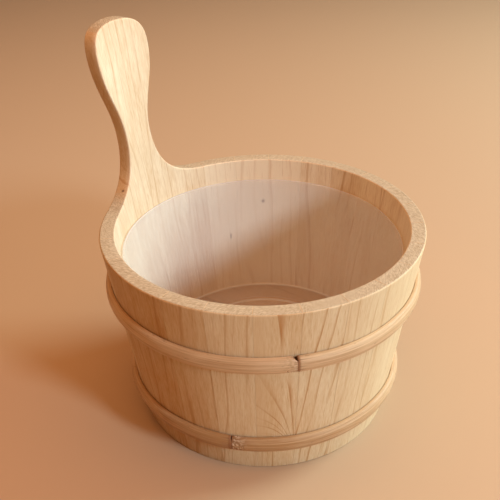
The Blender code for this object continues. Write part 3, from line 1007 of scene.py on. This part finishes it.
def join_rows(bm, rows):
    """Faces between closed rows of vertices, and one over each end."""
    count = len(rows[0])
    for near, far in zip(rows, rows[1:]):
        for i in range(count):
            following = (i + 1) % count
            bm.faces.new((near[i], near[following], far[following], far[i]))
    bm.faces.new(rows[0])
    bm.faces.new(rows[-1])


def make_hoop(name, material):
    """A half-round hoop on the wall's cone, from one butted end round to the other."""
    low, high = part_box(name)
    height = (low.z + high.z) / 2
    radius = outer_radius(height)
    width = (high.z - low.z) / math.cos(WALL_LEAN)
    proud = (high.x - low.x) / 2 - radius
    length = 2 * math.pi * radius
    butt = hoop_butt(name)
    swells = chance_waves()
    wanders = chance_waves()
    bm = bmesh.new()
    rows = []
    grain = []
    wear = []
    for along, last in hoop_stations(length):
        end = (name, last)
        turn = 2 * math.pi * (1 - along / length if last else along / length)
        swell = mean_wave(swells, turn)
        wander = mean_wave(wanders, turn)
        squeeze = 1 - HOOP_END_SQUEEZE * max(0.0, 1 - along / HOOP_END_ROUND) ** 2
        centre = Vector((radius, height)) + OUTWARD * HOOP_LIFT + UPWARD * (HOOP_WANDER * wander)
        half_width = width / 2 * (1 + HOOP_SWELL * swell) * squeeze
        depth = (proud - HOOP_LIFT) * (1 + HOOP_SWELL * wander) * squeeze
        fade = max(0.0, 1 - along / HOOP_FADE) * (-1 if last else 1)
        row = []
        for arc in range(HOOP_ARC_STEPS + 1):
            angle = HOOP_TUCK * (2 * arc / HOOP_ARC_STEPS - 1)
            place = math.sin(angle)
            nick = hoop_nick(along, place, end)
            out = hoop_out(angle, depth, nick)
            point = centre + UPWARD * (half_width * place) + OUTWARD * out
            share = max(HOOP_END_TAPER, min(1.0, out / depth))
            back = hoop_end_offset(place, end, share) / radius
            bearing = butt + turn + back * fade
            row.append(bm.verts.new((
                point.x * math.cos(bearing), point.x * math.sin(bearing), point.y,
            )))
            grain.append((half_width * place, out, turn * radius))
            wear.append(hoop_wear(along, turn, nick, end))
        rows.append(row)
    join_rows(bm, rows)
    piece = show(name + "_rattan", bm, [name], "bucket", material)
    store_vectors(piece.data, "grain", np.array(grain).T)
    for mark in wear[0]:
        store_numbers(piece.data, mark, np.array([point[mark] for point in wear]))


def make_pins(hoop_name, material):
    """Gives a hoop's pins, which are shown as they are in the CAD, their material."""
    for side in ("left", "right"):
        slots = CAD[f"{hoop_name}_pin_{side}"].data.materials
        slots.clear()
        slots.append(material)


def make_liner():
    low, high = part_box("liner")
    top_radius = (high.x - low.x) / 2
    base = low.z
    floor = base + LINER_THICKNESS
    crest = floor + LINER_RING_RISE

    def side_radius(z):
        return top_radius - WALL_SLOPE * (high.z - z)

    section = rounded(
        [
            (0, floor, 0),
            (LINER_RING_INNER, floor, LINER_RING_SIDE),
            (LINER_RING_INNER + LINER_RING_SIDE, crest, LINER_RING_SIDE / 2),
            (LINER_RING_OUTER - LINER_RING_SIDE, crest, LINER_RING_SIDE / 2),
            (LINER_RING_OUTER, floor, LINER_RING_SIDE),
            (side_radius(floor) - LINER_THICKNESS, floor, LINER_CORNER_ROUND - LINER_THICKNESS),
            (top_radius - LINER_THICKNESS, high.z, LINER_LIP_ROUND),
            (top_radius, high.z, LINER_LIP_ROUND),
            (side_radius(base), base, LINER_CORNER_ROUND),
            (0, base, 0),
        ],
        EDGE_STEPS,
    )
    bm = bmesh.new()
    turn_section(bm, section, LINER_STEPS)
    wall = plastic_material("liner_plastic", WALL_ALPHA)
    piece = show("liner_plastic", bm, ["liner"], "liner", wall)
    piece.data.materials.append(plastic_material("liner_edge", EDGE_ALPHA))
    piece.data.materials.append(plastic_material("liner_floor", FLOOR_ALPHA))
    for face in piece.data.polygons:
        upright = abs(face.normal.z)
        bend = face.center.z < crest and BEND_UPRIGHT < upright < FLOOR_UPRIGHT
        if face.center.z < crest + LINER_RING_RISE and upright >= FLOOR_UPRIGHT:
            face.material_index = FLOOR_SLOT
        elif bend or face.center.z > high.z - LINER_LIP_ROUND:
            face.material_index = EDGE_SLOT
        else:
            face.material_index = WALL_SLOT


def make_floor():
    section = rounded(
        [
            (0, 0, 0), (FLOOR_RADIUS + SWEEP_RADIUS, 0, SWEEP_RADIUS),
            (FLOOR_RADIUS + SWEEP_RADIUS, BACKDROP_HEIGHT, 0),
        ],
        SWEEP_STEPS,
    )
    bm = bmesh.new()
    turn_section(bm, section, BACKDROP_STEPS)
    mesh = bpy.data.meshes.new("floor")
    bm.to_mesh(mesh)
    bm.free()
    mesh.shade_smooth()
    material, _, shader = new_material("floor")
    shader.inputs["Base Color"].default_value = (*FLOOR_COLOUR, 1.0)
    shader.inputs["Roughness"].default_value = FLOOR_ROUGHNESS
    mesh.materials.append(material)
    floor = linked("floor", mesh)


def make_light():
    world = bpy.data.worlds.new("studio")
    world.use_nodes = True
    background = world.node_tree.nodes["Background"]
    background.inputs["Color"].default_value = (*AMBIENT_COLOUR, 1.0)
    background.inputs["Strength"].default_value = AMBIENT_STRENGTH
    bpy.context.scene.world = world
    rim_centre = AXIS + Vector((0, 0, RIM_HEIGHT))
    for name, (bearing, elevation, distance, size, power, colour) in SOFT_BOXES.items():
        data = bpy.data.lights.new(name, "AREA")
        data.shape = "DISK"
        data.size = size
        data.energy = power
        data.color = colour
        lamp = linked(name, data)
        away = direction(math.radians(bearing), math.radians(elevation))
        lamp.location = rim_centre + away * distance
        lamp.rotation_euler = away.to_track_quat("Z", "Y").to_euler()


def make_camera():
    data = bpy.data.cameras.new("camera")
    data.lens = CAMERA_LENS
    camera = linked("camera", data)
    forward = direction(CAMERA_BEARING + math.pi + CAMERA_YAW, -CAMERA_PITCH)
    right = forward.cross(Vector((0, 0, 1))).normalized()
    up = right.cross(forward)
    turned_right = right * math.cos(CAMERA_ROLL) + up * math.sin(CAMERA_ROLL)
    turned_up = up * math.cos(CAMERA_ROLL) - right * math.sin(CAMERA_ROLL)
    place = AXIS + direction(CAMERA_BEARING, 0) * CAMERA_RANGE + Vector((0, 0, CAMERA_HEIGHT))
    axes = Matrix((turned_right, turned_up, -forward)).transposed()
    camera.matrix_world = Matrix.Translation(place) @ axes.to_4x4()
    bpy.context.scene.camera = camera


make_camera()
make_light()
make_floor()
bpy.context.scene.view_settings.view_transform = "Standard"
make_staves(wood_material("stave_wood", STAVE_PALE, STAVE_TAN, "Z", KNOTS))
make_bottom(wood_material("bottom_wood", BOTTOM_PALE, BOTTOM_TAN, "Y"))
rattan = rattan_material()
pin_steel = steel_material()
for hoop in ("upper_hoop", "lower_hoop"):
    make_hoop(hoop, rattan)
    make_pins(hoop, pin_steel)
make_liner()
